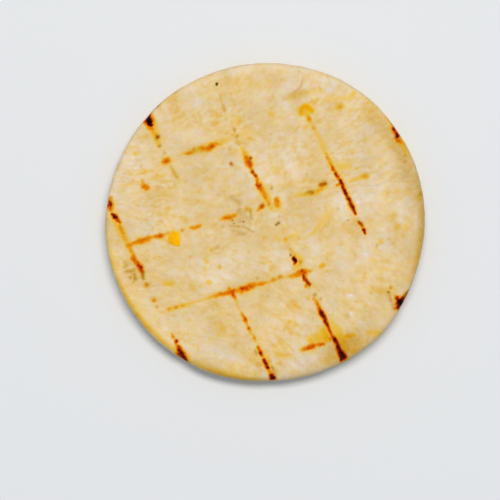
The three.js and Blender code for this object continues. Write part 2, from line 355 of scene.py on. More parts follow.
CROSS_WIRE_MARKS = [
    # top wire
    [(-31, 25, 0.8, 12), (-28.7, 25.3, 1, 34), (-26.6, 26, 0.9, 24)],
    [(-25.2, 27, 0.7, 34), (-23.6, 27.7, 0.7, 34)], [(-24.5, 26.2, 0.6, 18), (-22, 26, 0.6, 18)],
    [(-23.4, 27.1, 1.1, 48), (-22.2, 27, 0.95, 42), (-20.9, 27.1, 1.15, 60), (-19.7, 28.1, 1.15, 59)],
    [(-19.7, 28.1, 1, 59), (-19, 28.6, 0.9, 42), (-18, 28.9, 0.9, 33), (-16.5, 28.9, 0.8, 22)],
    [(-19.5, 29.8, 0.7, 13), (-15.2, 29.9, 0.7, 13)],
    [(26.2, 42, 0.9, 14), (27.8, 42.7, 1.2, 24), (29, 43, 0.9, 12)],
    # upper middle wire
    [(-50.8, -9, 1.3, 45), (-49.6, -8.5, 0.95, 34), (-47.8, -7.9, 1.1, 42), (-46.6, -7.5, 1.4, 58),
     (-44.9, -7, 1.1, 45), (-43.7, -6.5, 1.2, 50), (-42.6, -6.2, 0.8, 28)],
    [(-42.4, -6.1, 0.75, 22), (-41.2, -6, 0.9, 34), (-40.2, -5.8, 1.05, 45), (-39.2, -5.6, 1.25, 58)],
    [(-38.4, -5.1, 0.8, 34), (-37.4, -4.8, 0.7, 22), (-36.2, -4.5, 0.7, 26)],
    [(-28.2, -2.3, 0.8, 28), (-27, -2.5, 0.85, 36), (-26.1, -2.5, 0.9, 42), (-24.8, -1.7, 0.9, 38)],
    [(-24.8, -1.7, 0.85, 38), (-24, -1.4, 0.65, 28)],
    [(-16.8, 0.6, 0.9, 22), (-15.5, 1, 0.95, 42), (-14.5, 1.3, 1.05, 44), (-13.5, 1.4, 1.15, 54)],
    [(-13.5, 1.4, 1.1, 50), (-12.4, 1.8, 1.1, 38), (-11.3, 2.1, 1, 33), (-10.5, 2.9, 0.9, 18)],
    [(-1.2, 5.5, 1, 68), (-2.1, 4.8, 0.9, 46), (-3, 3.8, 0.7, 26)],
    [(4.2, 6.1, 1.4, 37), (4.2, 7.2, 1.3, 42), (4, 8.1, 1.2, 35)],
    [(19.2, 11, 0.9, 26), (21, 12, 0.9, 22), (22.4, 12.8, 0.6, 16)],
    [(20.4, 13.3, 0.8, 50), (22.2, 14, 0.8, 34)], [(26.9, 13.4, 0.85, 38), (27.7, 14, 0.7, 46)],
    [(35.6, 16.4, 0.9, 16), (37.1, 16.8, 1.1, 26), (38, 16.7, 0.8, 18)],
    (-5.6, 3.9, 0.55, 36), (-4.3, 7.2, 0.9, 13), (4.9, 5.5, 1, 26), (31.9, 14.8, 0.85, 18),
    # lower middle wire
    [(-40, -33.8, 0.5, 12), (-37, -34.4, 0.5, 12)], [(-35.9, -32.9, 1, 26), (-34.6, -32.6, 0.7, 16)],
    [(-33.4, -32.2, 0.8, 32), (-32.4, -32, 0.7, 18)],
    [(-31.6, -31.7, 0.75, 26), (-30.4, -31.5, 0.75, 30), (-28.8, -31.1, 0.6, 16)],
    [(-28.8, -31.1, 0.7, 17), (-25, -29.9, 0.8, 17), (-22.6, -29.3, 0.7, 14), (-20.4, -28.4, 0.8, 20)],
    [(-20.4, -28.3, 0.75, 20), (-18.8, -27.9, 0.95, 34), (-17.2, -27.5, 1, 48), (-15.2, -27.1, 0.95, 48),
     (-13.7, -26.7, 1, 58), (-12.4, -26.3, 1.1, 70), (-10.7, -26, 0.95, 46)],
    [(-9.1, -25.5, 1.35, 73), (-7.9, -25.3, 1.2, 58), (-6.5, -24.7, 1.3, 60), (-4.9, -24.1, 1.2, 50)],
    [(-4.9, -24.1, 1.1, 52), (-3.2, -23.7, 1.05, 37), (-1, -23.3, 1.15, 42), (0.2, -23, 0.9, 26)],
    [(0.2, -23, 0.9, 24), (1.7, -22.5, 0.9, 20), (2.9, -21.9, 1.15, 34), (4, -21.6, 0.8, 20)],
    [(4.6, -21.2, 0.9, 24), (5.6, -20.9, 0.95, 28), (7.4, -20.9, 0.9, 17)],
    [(8, -20.8, 1, 19), (9.8, -20.6, 1.2, 30), (11.7, -19.9, 1.2, 48), (13, -19.4, 1.35, 60)],
    [(13, -19.4, 1.3, 62), (14.6, -19, 1.3, 64), (15.9, -18.7, 1, 34), (17.2, -18.2, 0.9, 20)],
    [(20.7, -17, 1, 20), (21.5, -16.4, 1.15, 26)],
    # bottom wire
    [(13.1, -48.3, 0.9, 24), (14.4, -47.8, 0.95, 46)],
    [(14.4, -47.8, 0.95, 48), (15.2, -47.5, 1, 56), (16.3, -47.1, 1.05, 58), (17.8, -46.7, 1.05, 68)],
    [(17.8, -46.7, 1, 66), (19, -46.3, 0.85, 42), (20.2, -46.1, 0.85, 56)],
    [(20.2, -46.1, 0.8, 58), (21.6, -45.9, 0.75, 58)], [(30.8, -43.1, 0.8, 26), (31.5, -43, 0.7, 20)],
]

LOOSE_SCORCHES = [
    [(-46, 15.3, 0.8, 30), (-45.9, 13.6, 1.15, 38), (-45.9, 12.8, 1.15, 40), (-44.8, 12.7, 1.4, 50),
     (-44.2, 12.4, 1.2, 48)],
    (-12.9, 21.3, 0.8, 42), (-5.6, 23.4, 0.6, 60),
    rim_stroke(188, 244, 0.3, 0.9, 19),
]

print("scorch strokes:", len(LONG_WIRE_MARKS) + len(CROSS_WIRE_MARKS) + len(LOOSE_SCORCHES))

# %% [markdown]
# Four more brushes: soot, where smoke and burnt crumbs browned the dough, which also holds painted shade on
# the lower and right edges, under the soft fold and beside a white flake; gold, where the corn is yellower
# or the heat toasted it evenly, which also holds painted shade under the fold; pale, where the starch stayed
# dry and white, which also holds painted light on the upper and left edges; and last soft patches, where
# the skin is lighter or whiter, with painted light where the edge catches it. The strongest stroke wins,
# so their order doesn't matter.

# %% Soot, gold and pale strokes
SOOT_AND_SHADE_STROKES = [
    [(-16.9, 46.2, 0.5, 14), (-16.1, 43.6, 0.5, 16), (-15.2, 41.4, 0.6, 30)],
    [(-11.8, 34.3, 0.6, 35), (-11.4, 33.4, 0.5, 25)], [(-46, -19.4, 0.9, 50), (-45.6, -21.6, 0.8, 44)],
    [(14.2, -20.3, 0.6, 42), (14.9, -22.1, 0.6, 50), (16.5, -23.8, 0.6, 50)],
    [(34.8, -0.4, 0.65, 60), (35.9, -1.7, 0.65, 56)], [(-41.5, 42, 0.5, 45), (-39.8, 43.3, 0.5, 45)],
    [(-35.4, 20.2, 0.7, 22), (-34.2, 18.2, 0.7, 28), (-33, 16.2, 0.8, 26)],
    [(-28.8, 25.2, 1, 22), (-25.4, 26.6, 1.1, 20), (-21.6, 26.6, 1.1, 16)],
    [(-13.4, -1.6, 0.6, 24), (-9.6, -1.9, 0.6, 26)], [(-12.6, -3.4, 0.5, 22), (-9, -4, 0.5, 24)],
    [(-8.4, -2, 0.5, 32), (-5.6, -3.6, 0.5, 34), (-4.2, -4, 0.4, 24)],
    [(-10.2, -4.6, 1, 24), (-7.8, -4.8, 0.7, 22)], [(-9.8, 4.2, 1.1, 26), (-9.2, 2.2, 0.7, 20)],
    [(-8.6, 3.6, 0.5, 22), (-6.6, 0.6, 0.5, 24), (-5.4, -1.2, 0.5, 20)],
    [(-5.7, 4.2, 0.6, 38), (-5.4, 1, 0.6, 26)], [(-9.8, 6.6, 1.1, 26), (-12.6, 9, 0.9, 20)],
    [(-18.8, -10.1, 0.6, 22), (-17.7, -9.4, 0.5, 28)],
    [(-51.6, -18.8, 1, 48), (-50.4, -18.8, 1, 44), (-49, -18.1, 0.8, 36)],
    [(-49, -19.7, 0.8, 44), (-48.6, -21.5, 1, 46)], [(-51, -16.6, 3, 16), (-49.4, -20.6, 3, 18)],
    [(4, -1.3, 0.65, 46), (4.9, -0.7, 0.65, 52)], [(51.6, -28.7, 0.9, 50), (53.6, -26.3, 0.9, 54)],
    # painted shade: the band under the soft fold
    [(7.4, 45.8, 1.2, 10), (11, 47, 1.7, 20), (15, 48, 1.6, 14)],
    [(14.6, 10, 0.7, 18), (16.2, 11, 0.7, 44), (17.3, 10.6, 0.8, 66)],
    [(20.5, 13.4, 0.9, 46), (22.3, 14.1, 0.9, 62)], [(30.4, -47.4, 0.7, 42), (31.5, -47.7, 0.6, 36)],
    [(37.7, -44.1, 0.6, 34), (38.4, -43.8, 0.6, 30)], [(30.6, -49, 0.7, 40), (31.8, -49.2, 0.6, 28)],
    [(31.2, -49.6, 1, 28), (33.8, -48.2, 1.3, 28)],
    [(46, -27.4, 0.6, 26), (46.8, -29.6, 0.6, 32), (47.6, -31.4, 0.6, 38), (48.3, -32.8, 0.7, 54)],
    [(-3.9, -48.5, 0.6, 40), (-3.2, -49.9, 0.5, 25)], [(2.4, -54.6, 0.6, 50), (4.1, -57.3, 0.5, 25)],
    [(58, 10, 1.5, 46), (56.6, 8.6, 1.4, 28)],
    (-10.7, 31.7, 0.7, 38), (-9.8, 28.4, 0.5, 25), (-13.3, 27, 0.6, 22), (-26.7, 27, 0.5, 50),
    (-39.5, 27.9, 0.65, 50), (-37.7, 25.4, 0.5, 40), (-40.3, 31.4, 0.85, 80), (-12.8, 21.3, 0.8, 46),
    (-5.6, 23.4, 0.65, 74), (-5, 18.4, 0.6, 36), (-33.4, -32.2, 0.7, 32), (-44.4, -23.8, 1.2, 34),
    (-41.6, -29.5, 0.9, 20), (-40.4, -31.9, 0.6, 25), (-1.3, 5.5, 1, 38), (-18.2, 50.9, 0.5, 90),
    (-12.4, 0.3, 0.6, 36), (-11.8, -0.8, 0.65, 32), (-9.4, 0.1, 0.5, 36), (-8.3, -0.2, 0.6, 44),
    (-15.9, -1.9, 0.6, 25), (-8.6, -0.8, 4.2, 11), (-7, 4.5, 1, 26), (-18.7, -6.7, 0.6, 20),
    (-52.7, -15.6, 0.6, 32), (-51.7, -16.5, 0.8, 34), (-52.5, -17.2, 0.8, 34), (-49.2, -22.6, 0.7, 36),
    (-50.3, -20.9, 0.7, 50), (-31, -3.5, 0.75, 30), (-36, -8, 0.8, 14), (5.2, 1.7, 0.5, 25),
    (1.2, 6.3, 0.5, 36), (9.4, -12.7, 0.55, 58), (9.2, -10.8, 0.7, 16), (13.1, -15.3, 0.8, 32),
    (18.3, -27.7, 0.7, 44), (20.5, -29.1, 0.6, 38), (2.9, -21.9, 0.9, 14), (5.4, -20.9, 0.9, 20),
    (46.7, -24.9, 0.7, 34), (38, 40.6, 1.6, 12), (37.2, 16.8, 1.1, 16), (27.8, 42.6, 1.1, 14),
    (-17.2, -17.2, 0.7, 16), (-20.1, -10.9, 0.8, 14), (15.3, 17.5, 0.6, 22), (22.8, 23.9, 0.6, 22),
    (18, 34.7, 0.6, 18), (2.2, 12.2, 0.7, 40), (27.2, 4.6, 0.5, 25), (30.8, 0.3, 0.5, 38),
    (29.4, -0.8, 0.5, 28), (41.7, -9.2, 0.6, 30), (7, -40.8, 0.5, 25), (-3, -21.5, 0.6, 30),
    # (30.8, -35.4) is painted shade beside a white flake
    (30.8, -35.4, 1.2, 20), (45.9, -26.6, 0.6, 42), (-17.7, 9.7, 0.5, 25),
    (-46.6, 20.4, 0.5, 25), (1.6, -52.3, 0.5, 30), (51, 26.3, 0.7, 40), (51.7, 24.4, 0.8, 56),
    (52, 22.2, 0.7, 56), (13.4, 41.4, 2, 8),
    # the shaded side of the soft fold
    [(13.9, 53.4, 0.5, 12), (13.4, 50.8, 0.6, 20), (11.3, 48.2, 0.6, 26), (8.2, 46.6, 0.6, 14)],
    # along the rim: the lower and right edges darker, partly toast and partly painted shade
    rim_stroke(-26, 6, 3.4, 3.2, 13),
    rim_stroke(2, 46, 3, 3.4, 27),
    rim_stroke(238, 264, 1, 1.6, 14),
    rim_stroke(236, 276, 0.1, 0.9, 22),
    rim_stroke(-24, 24, 1.1, 1.8, 38),
    rim_stroke(288, 314, 4, 4.5, 34),
]

GOLD_AND_SHADE_STROKES = [
    # the ring where a drop of fat toasted the dough
    [(13.3, 40.2, 1.1, 95), (13.3, 41.8, 1.2, 100), (14.5, 42.6, 1.3, 108), (16.2, 42.1, 1.3, 106),
     (17.2, 41.2, 1.1, 98)],
    [(15, 40.9, 1.1, 66), (15.8, 39, 1.2, 54), (16.6, 37.4, 1.3, 44)],
    # beside the hottest marks
    [(-58.8, 8, 1.3, 42), (-57.2, 3.4, 1.7, 40), (-55.4, -1.4, 1.8, 46), (-53.2, -5.2, 1.8, 50),
     (-51.2, -8.6, 1.8, 44), (-49.6, -13, 1.4, 36)],
    [(-33.6, -47.8, 1.2, 55), (-32.8, -50.6, 1, 60)], [(-29.4, -50.6, 1.3, 60), (-28.6, -52.6, 1, 60)],
    [(19.9, -39.8, 1.8, 24), (22, -41.4, 2.2, 74), (22.6, -43.4, 2, 100)],
    [(16.4, -44, 1.9, 36), (20, -43.2, 2.2, 54), (23, -42.4, 2.5, 70)],
    [(15.4, -43.4, 1.3, 26), (18.2, -44.4, 1.5, 42), (20.8, -44.4, 1.6, 62)],
    [(16.6, -44.4, 1.1, 72), (17.2, -45.4, 1.2, 60)], [(14, -49.2, 1.2, 13), (18.8, -48.4, 1.2, 18)],
    [(24.4, -37, 1.5, 26), (25.9, -39.8, 2, 46), (27.2, -42.6, 2.3, 60), (28.6, -45.4, 2.2, 64)],
    [(28.6, -45.4, 2.2, 60), (30.2, -48, 1.8, 40)],
    [(30.2, -43.1, 1, 86), (31.4, -43, 1, 94), (33, -42.5, 0.9, 44)],
    [(11.4, -12.6, 1, 42), (12.8, -14.6, 1.5, 60), (12.4, -16.6, 1.3, 52), (10.6, -17.6, 1.2, 38)],
    [(0.3, -51, 1.3, 50), (1.5, -53.8, 1.2, 42)],
    [(-41.6, 39, 1.2, 16), (-41.9, 36.4, 1.6, 54), (-41.4, 33, 1.7, 60), (-39.8, 28.4, 1.3, 46)],
    [(31, 20.4, 1.8, 34), (27.4, 20.4, 1.8, 36)],
    [(32, 15, 1.1, 34), (35.6, 16.2, 1.1, 44), (37.6, 16.8, 1.3, 60)],
    [(48, 35.4, 1.4, 50), (50, 31.6, 1.6, 52), (51.4, 28.6, 1.6, 50), (53.6, 24.4, 1.2, 28)],
    [(17, 36.4, 1.2, 36), (19, 33, 1.5, 32), (20.8, 29.6, 1.7, 34), (22.2, 26, 1.5, 32), (24, 22, 1.4, 42)],
    [(26, 42, 1.2, 34), (27.8, 42.7, 1.6, 60), (29.2, 42.8, 1.1, 34)],
    [(-36.2, -33, 1.2, 46), (-30.4, -31.5, 1.2, 44), (-25, -29.9, 0.9, 20), (-20.4, -28.4, 1.2, 30)],
    [(-41.4, -32.6, 0.7, 20), (-39.6, -34, 0.7, 22), (-36.4, -34.6, 0.7, 16)],
    [(-9, -26.8, 1.3, 40), (-5.6, -26, 1.2, 28)],
    [(-8.8, 27.2, 1.1, 40), (-7.6, 24.8, 1.7, 50), (-5.6, 21, 1.5, 44)],
    [(-2.4, 13.8, 1.7, 46), (-0.8, 11, 1.9, 56), (0.8, 7.6, 1.9, 52), (2.2, 4.6, 1.3, 40)],
    [(4.2, 8.4, 1.7, 30), (4.6, 5.6, 1.9, 42)], [(20.7, -17, 1.4, 36), (21.5, -16.4, 1.5, 40)],
    [(-36.5, -5.8, 1.1, 34), (-34.4, -3.9, 1.1, 40), (-31.8, -4.4, 0.9, 26)],
    (-44.4, -23.8, 1.3, 46), (-41.7, -29.4, 1.3, 46), (35.2, -1.2, 1.6, 26), (-7, 4.5, 1.1, 52),
    (-31, -3.5, 0.9, 55), (-35, -8.8, 0.9, 28), (47.8, -27, 1.7, 26),
    # along the top wire
    [(-36, 20.8, 1, 24), (-34.2, 18, 1, 30), (-32.4, 15.4, 1.2, 24)],
    [(-31, 25.2, 1.3, 34), (-26, 26.4, 1.7, 50), (-21, 27.6, 2, 52), (-17, 29.3, 1.6, 46),
     (-13.2, 30.6, 1.3, 24)],
    [(-16.7, 45.8, 0.7, 20), (-15.2, 41.6, 1, 28)],
    # bands where the skin stayed moist; the first, under the soft fold, is painted shade
    [(6.6, 45.2, 1.2, 16), (10.6, 46.6, 1.8, 26), (14.6, 48, 1.7, 24), (20, 48.4, 1.3, 14)],
    [(24, 45.2, 1.6, 26), (31.6, 46, 1.5, 26), (33.2, 47.8, 1, 42)],
    [(36.4, 41, 1.6, 15), (43, 37.6, 1.5, 15)], [(-9.4, 32.2, 1.6, 24), (-4.4, 33.4, 1.4, 22)],
    [(-54.5, 13, 0.9, 20), (-50, 13.5, 0.8, 20)],
    [(-42.6, -20, 1.5, 18), (-38.6, -22.4, 1.4, 20), (-34, -25.2, 1.2, 12), (-29, -28, 1.2, 12)],
    [(-37.6, -23.3, 1.2, 46), (-34.8, -23.4, 1.3, 48)],
    [(24.8, 4.4, 0.8, 22), (22.6, 1.6, 1, 32), (20.2, -1.6, 1.1, 35), (17.8, -4.4, 1.1, 33),
     (15.2, -6, 1, 18)],
    [(6.8, -1.6, 0.8, 24), (7.6, -3.6, 0.9, 24)], [(3.2, -5.6, 1.3, 26), (4.8, -7, 1.2, 34)],
    [(9, -5.8, 1.2, 34), (11.6, -5, 1.1, 28)], [(40, -14.2, 1.1, 26), (41.6, -15.6, 1.2, 24)],
    [(42.4, -18.4, 0.9, 24), (46.6, -17.8, 0.8, 22)], [(38.4, -41.6, 1.4, 38), (42.2, -41.8, 1.6, 38)],
    [(33, -46.8, 2, 24), (36.6, -44.8, 1.5, 18)], [(32.6, -48.6, 1.3, 46), (34.2, -47.9, 1.2, 40)],
    [(48.4, 11.6, 1.3, 22), (54, 10.4, 1.3, 22)], [(58, 10.4, 1.2, 30), (56.6, 8.6, 1.5, 26)],
    [(-10.2, 39, 0.8, 30), (-11.3, 36.7, 0.8, 30)], [(-25.2, -46, 0.6, 26), (-25.2, -48.4, 0.6, 24)],
    [(9.4, 9.2, 0.9, 22), (13.4, 9.8, 1.1, 44), (16.4, 10.3, 1.2, 60), (18.6, 10.7, 1.3, 70),
     (20.8, 11.9, 1.2, 58), (22.6, 12.8, 1, 40)],
    [(7.6, -7, 1.5, 46), (8.4, -8.4, 1.1, 26)],
    [(24.6, 21.2, 1.6, 40), (28.2, 15.2, 1.5, 36), (30, 12.2, 1.3, 30)],
    (46.9, -25, 0.95, 60), (-16, 22, 1.4, 22),
    # single spots
    (-20.8, 48.4, 1.1, 19), (-15.9, 49, 1, 14), (-5.8, 51, 1, 19), (-26.3, 51.4, 1.2, 19),
    (0.4, 51.6, 1.2, 23), (7.9, 55.6, 0.9, 23), (9.3, 55, 0.7, 20), (-26.9, 41.6, 0.8, 17),
    (-48.7, 25.3, 1, 48), (-42.2, 22, 0.9, 14), (-53.9, 21.4, 1.4, 14), (-30.6, 15.9, 1.3, 19),
    (-12.9, 43.4, 1.3, 17), (-27.7, 11, 1.3, 16), (-28.4, 7, 1.2, 14), (-42.2, 3.7, 1.3, 14),
    (-37.4, 1.8, 1.1, 22), (-37.3, -1.9, 0.9, 30), (2.2, 39.9, 1.4, 44), (2.4, 23.3, 1.3, 19),
    (4.2, 19, 2.3, 28), (23.8, 35.4, 1.6, 24), (33.6, 35.6, 1.4, 14), (45.3, 17.6, 1.4, 17),
    (37.4, 14.6, 1.4, 14), (14, -1.6, 1.1, 22), (42.9, -7.6, 1.4, 40), (52.7, -2.4, 1.3, 32),
    (19, -13.5, 0.8, 19), (24.5, -15.9, 0.8, 14), (26.3, -26.9, 0.8, 19), (26.9, -32.5, 0.9, 22),
    (17.1, -31.8, 0.8, 19), (3.7, -34.8, 1.3, 19), (4.9, -47.2, 1.1, 17), (-21.9, -15.1, 1.1, 44),
    (-22.6, -18.2, 1.5, 25), (-21.2, -23, 1.4, 40), (-17.2, -17.2, 0.8, 46), (-20.1, -10.9, 1, 42),
    (-28.9, -5.9, 0.9, 19), (-36.4, -15, 1.1, 17), (-17.4, -34.9, 1.6, 23), (-12.4, -34.4, 1.2, 17),
    (-28.6, -37, 1.3, 24), (-17.6, -42.5, 1.5, 30), (-20.8, -44.1, 1.1, 20), (-41.2, -36, 0.8, 24),
    (-42, -37.2, 0.7, 22), (-12.2, -56, 1.1, 24), (-3.8, -57.2, 1, 46), (-55.2, -14.4, 0.8, 24),
    (8.5, 31, 1, 16), (12, 36.5, 0.9, 17), (-37.2, -28.6, 0.6, 19),
    # along the rim
    rim_stroke(184, 204, 0.8, 1, 30),
    rim_stroke(196, 242, 0.6, 1.2, 46),
    rim_stroke(202, 232, 3.6, 2.6, 10),
    rim_stroke(240, 270, 0.5, 1.3, 44),
    rim_stroke(32, 44, 1.2, 1.2, 20),
    rim_stroke(-22, -6, 1.3, 1.4, 24),
    rim_stroke(288, 306, 2.6, 2.2, 24),
]

SOFT_FOLD = [(13.2, 54.4, 0.8, 60), (12.6, 50.8, 0.9, 80), (10.4, 48.8, 1, 70), (6.8, 47.8, 1.2, 50)]
PALE_AND_RIM_LIGHT_STROKES = [
    # the soft fold in the upper half
    SOFT_FOLD,
    [(9.6, 50.6, 1.6, 40), (3.4, 48.6, 1.8, 45), (-3, 46.4, 2, 40)],
    [(24.4, 49, 1.1, 45), (30.6, 48.6, 1.1, 40)], [(15.2, 50, 0.7, 35), (18.2, 56, 0.7, 35)],
    # dry streaks on the wrinkled side
    [(34, 32.2, 1.9, 60), (39.6, 34.4, 1.7, 55), (42.8, 35.4, 1, 35)],
    [(27, 23.6, 0.7, 40), (36, 24.6, 0.7, 50)], [(42, 24.2, 0.7, 50), (48, 25.4, 0.7, 50)],
    [(30.6, 27.4, 0.7, 35), (42.6, 31, 0.7, 40)],
    [(45, 13.4, 0.8, 50), (50.6, 13.8, 0.8, 55), (57.2, 12.6, 0.8, 40)],
    [(45.6, 19.8, 0.6, 45), (49.6, 18.6, 0.6, 45)], [(9.2, 25, 0.7, 35), (16, 24.6, 0.7, 35)],
    [(-51.6, 15.2, 0.8, 70), (-47.4, 16.4, 0.8, 70), (-42.8, 17.2, 0.7, 50)],
    [(-56, 4.2, 1.1, 35), (-50.8, 5, 1.1, 35)],
    (-51, 11.4, 1.2, 40),
    # patches where the starch stayed dry
    [(-24, -47, 2, 50), (-17.4, -49.2, 2.2, 80), (-11, -51, 2, 70)],
    [(12, -53.4, 1.9, 60), (19, -51.6, 2.2, 60), (23.4, -49.2, 1.2, 40)],
    [(-53.8, -18.4, 1.1, 40), (-52.6, -22, 1.2, 45)], [(-44.6, -30, 1.4, 45), (-42.4, -33.4, 1.2, 50)],
    [(-38.6, -36.8, 1.6, 45), (-37.6, -39.8, 1.4, 40)], [(-12.6, 40.6, 1.4, 35), (-15.6, 36, 1.6, 45)],
    [(-26.6, 32.6, 1.8, 35), (-31.4, 31.6, 2, 45), (-35.6, 28, 1.8, 40)],
    [(44.5, -19.6, 1.5, 60), (45.4, -22.4, 1.3, 50)], [(31, -27.9, 0.5, 95), (32.6, -27.9, 0.5, 95)],
    [(41.8, -34.6, 2.2, 40), (43, -37.6, 2, 40)], [(19.6, 5.4, 2, 35), (25.4, 7.6, 2, 40)],
    [(0.2, 2.2, 1.3, 70), (3.2, 1.4, 1.2, 50)], [(-6.6, -11, 3.4, 35), (-3.6, -16, 3.4, 35)],
    [(3.4, -1.2, 1, 30), (5, -2.6, 1, 35)],
    # single spots
    (-39.8, -10.4, 1.9, 50), (-34.3, -19, 2.2, 45), (-30.2, -12, 3, 25), (-14.2, -5, 1.8, 30),
    (37.4, -12.4, 1.4, 65), (34.2, -15, 1.4, 60), (42.9, -15.6, 0.9, 40), (36.7, -39.2, 2.2, 40),
    (32, -35, 1.2, 60), (32, -39.5, 1.2, 40), (14.7, -33, 2, 35), (39.2, -5.4, 2.6, 30),
    (53.9, -6.2, 1.6, 25), (53.3, 6, 1.7, 35), (45, 7.4, 1.4, 35), (2.4, 31.2, 2, 45), (7.8, 43.8, 1.2, 35),
    (3.6, 14, 1.1, 40), (3.5, 10, 1, 40), (8.8, 12.2, 1.2, 25), (18.4, 30.4, 1.6, 20), (-2.4, 28.2, 2, 40),
    (-4.8, 55, 2, 20), (-45.3, 28.2, 2.2, 40), (-28, 1.8, 2.6, 25), (-17.3, 4, 1.4, 35),
    (-14.2, 5.6, 1.2, 35), (-7.2, 51, 1.2, 20), (1.6, -12.4, 3, 25), (7.6, -24.4, 2.2, 25),
    (-7, 1.2, 1.3, 50), (-34, 3, 2, 20), (-23, -4, 1.6, 25), (13, 33.6, 1.4, 20), (-8.6, 8, 1.2, 40),
    (37, 18.8, 0.9, 70), (5.2, 37, 1.1, 55), (10, 38, 1.4, 45), (-33.6, -3.4, 0.9, 30),
    (-41.6, -27.4, 1.4, 30), (5, 32, 1.4, 30), (-13, -16, 2, 20), (18.8, 13.4, 0.8, 35),
    (-21, -13.6, 0.8, 20),
    # along the rim: the upper and left edges paler, partly dry starch and partly painted light
    rim_stroke(48, 108, 1.6, 2.2, 45),
    rim_stroke(150, 176, 1.8, 1.8, 60),
]

# Soft patches: x, y, reach, how much lighter than the rest of the skin, and how much whiter.
SOFT_PATCHES = [
    # small and clear: white flakes, and places where the corn's yellow doesn't show
    (31.1, -27.8, 0.5, 0.7, 1.2), (32.2, -27.8, 0.5, 0.7, 1.2), (31.8, -34.7, 0.9, 0.7, 1.5),
    (42, -10.4, 2, 0, 0.9), (48.8, -0.6, 2.4, 0, 0.6), (28.3, -8, 2, 0, 0.6), (58.6, -0.4, 3, 0, 1.3),
    (-42.9, 40.6, 3.5, 0, 0.9), (-30, 50.6, 3.5, 0, 0.6), (21, -51.4, 4, 0.5, 0.7),
]
# Painted light where the edge catches it: both directions, inset, reach, and how much lighter, not per cent.
LIGHT_RIMS = [
    (198, 240, 4, 4.2, 0.8), (156, 228, 0.8, 1.4, 1.3), (190, 238, 0.2, 2.2, 0.4),
    (98, 178, 0.8, 2.6, 0.45),
]
for rim in LIGHT_RIMS:
    SOFT_PATCHES += [(*point, 0) for point in rim_stroke(*rim)]

print("soot:", len(SOOT_AND_SHADE_STROKES), "gold:", len(GOLD_AND_SHADE_STROKES), "pale:", len(PALE_AND_RIM_LIGHT_STROKES), "marks")

# %% [markdown]
# A brush measures how far each point of the cake lies from the nearest spot on a stroke, and lets the
# colour fall away smoothly with that distance. The points are first jogged a little by noise, so that no
# edge is ruled. Soft patches add up instead, since they only shade the skin.

# %% The brush
RACK_CENTRE = np.array([0.2, 0.4])
JOG = 0.3
JOG_SIZE = 1.6
GLOW_REACH = 2.3
HOT = 0.7 # from here up, a stroke's edge gets harder


def noise_at(places, size, seed):
    """Smooth noise, about -0.7 to 0.7, with features of the given size in mm."""
    shift = Vector((seed * 7.3, seed * 3.1, seed * 5.7))
    return np.array([noise.noise(Vector(place) / size + shift) for place in places])


def painted(strokes, places, hardness=2.0, glow=0.0, fineness=1.0):
    """The strongest stroke at each place, 1 for 100 per cent. Glow is the share of a stroke that spreads."""
    strength = np.zeros(len(places))
    for stroke in strokes:
        spots = stroke if isinstance(stroke, list) else [stroke, stroke]
        for (x0, y0, width0, percent0), (x1, y1, width1, percent1) in zip(spots, spots[1:]):
            run = np.array([x1 - x0, y1 - y0])
            from_start = places - np.array([x0, y0])
            length_squared = max(run @ run, 1e-9)
            share = np.clip(from_start @ run / length_squared, 0, 1)
            gap = np.hypot(*(from_start - share[:, None] * run).T)
            reach = fineness * (width0 + (width1 - width0) * share)
            heat = percent0 / 100 + (percent1 / 100 - percent0 / 100) * share
            core = np.exp(-((gap / reach) ** (hardness + 2 * np.clip(heat - HOT, 0, 0.5))))
            around = np.exp(-((gap / (GLOW_REACH * reach)) ** 2))
            strength = np.maximum(strength, heat * ((1 - glow) * core + glow * around))
    return strength


def shaded(patches, places, column):
    """The sum of soft patches at each place, with the amounts in one column of their list."""
    amount = np.zeros(len(places))
    for patch in patches:
        gap = np.hypot(*(places - np.array(patch[:2])).T)
        amount += patch[column] * np.exp(-((gap / patch[2]) ** 2))
    return amount


jog = JOG * np.column_stack([noise_at(points, JOG_SIZE, seed) for seed in (1, 2)])
places = points[:, :2] - RACK_CENTRE + jog
print("brush ready for", len(places), "points")

# %% [markdown]
# The marks on the top run down over the edge and stop half-way. The underside lay on the same rack, turned
# a little, before the cake was flipped: its wires are followed whole, and noise along them breaks the
# lines.

# %% Paint the top and the underside
UNDER_RACK_CENTRE = np.array([14.0, -8.0])
UNDER_RACK_TURN = 14.0
LONG_ANGLE, LONG_OFFSETS = -64.5, (-49.4, -22.8, 4.0, 31.5, 58.7)
CROSS_ANGLE, CROSS_OFFSETS = 16.5, (-49.9, -21.8, 5.5, 32.7, 59.9)
HALO_SHARE = 0.42 # the gold that every scorch mark has round it
WIRE_HEAT, UNDER_HEAT = 1.05, 0.95
UNDER_REACH = 0.95
MARKS_END, MARKS_FULL = 3.2, 6.6 # heights on the edge between which the top's marks fade in
UNDER_FULL, UNDER_END = 0.5, 3.5
EDGE_RAGGEDNESS = 1.5


def smooth_step(low, high, values):
    share = np.clip((values - low) / (high - low), 0, 1)
    return share * share * (3 - 2 * share)


def wire_gap(places, angle_degrees, offsets):
    """Distance of each place from the nearest of a family of parallel wires."""
    angle = math.radians(angle_degrees)
    across = places @ np.array([-math.sin(angle), math.cos(angle)])
    return np.min([np.abs(across - offset) for offset in offsets], axis=0)


ragged = [points[:, 2] + EDGE_RAGGEDNESS * noise_at(points, 4.0, seed) for seed in (3, 4)]
upper = smooth_step(MARKS_END, MARKS_FULL, ragged[0])
lower = 1 - smooth_step(UNDER_FULL, UNDER_END, ragged[1])

under_places = points[:, :2] - UNDER_RACK_CENTRE + jog
under_gap = np.minimum(
    wire_gap(under_places, LONG_ANGLE + UNDER_RACK_TURN, LONG_OFFSETS),
    wire_gap(under_places, CROSS_ANGLE + UNDER_RACK_TURN, CROSS_OFFSETS),
)
under_heat = smooth_step(-0.1, 0.45, noise_at(points, 11.0, 5) + 0.5 * noise_at(points, 4.0, 6))

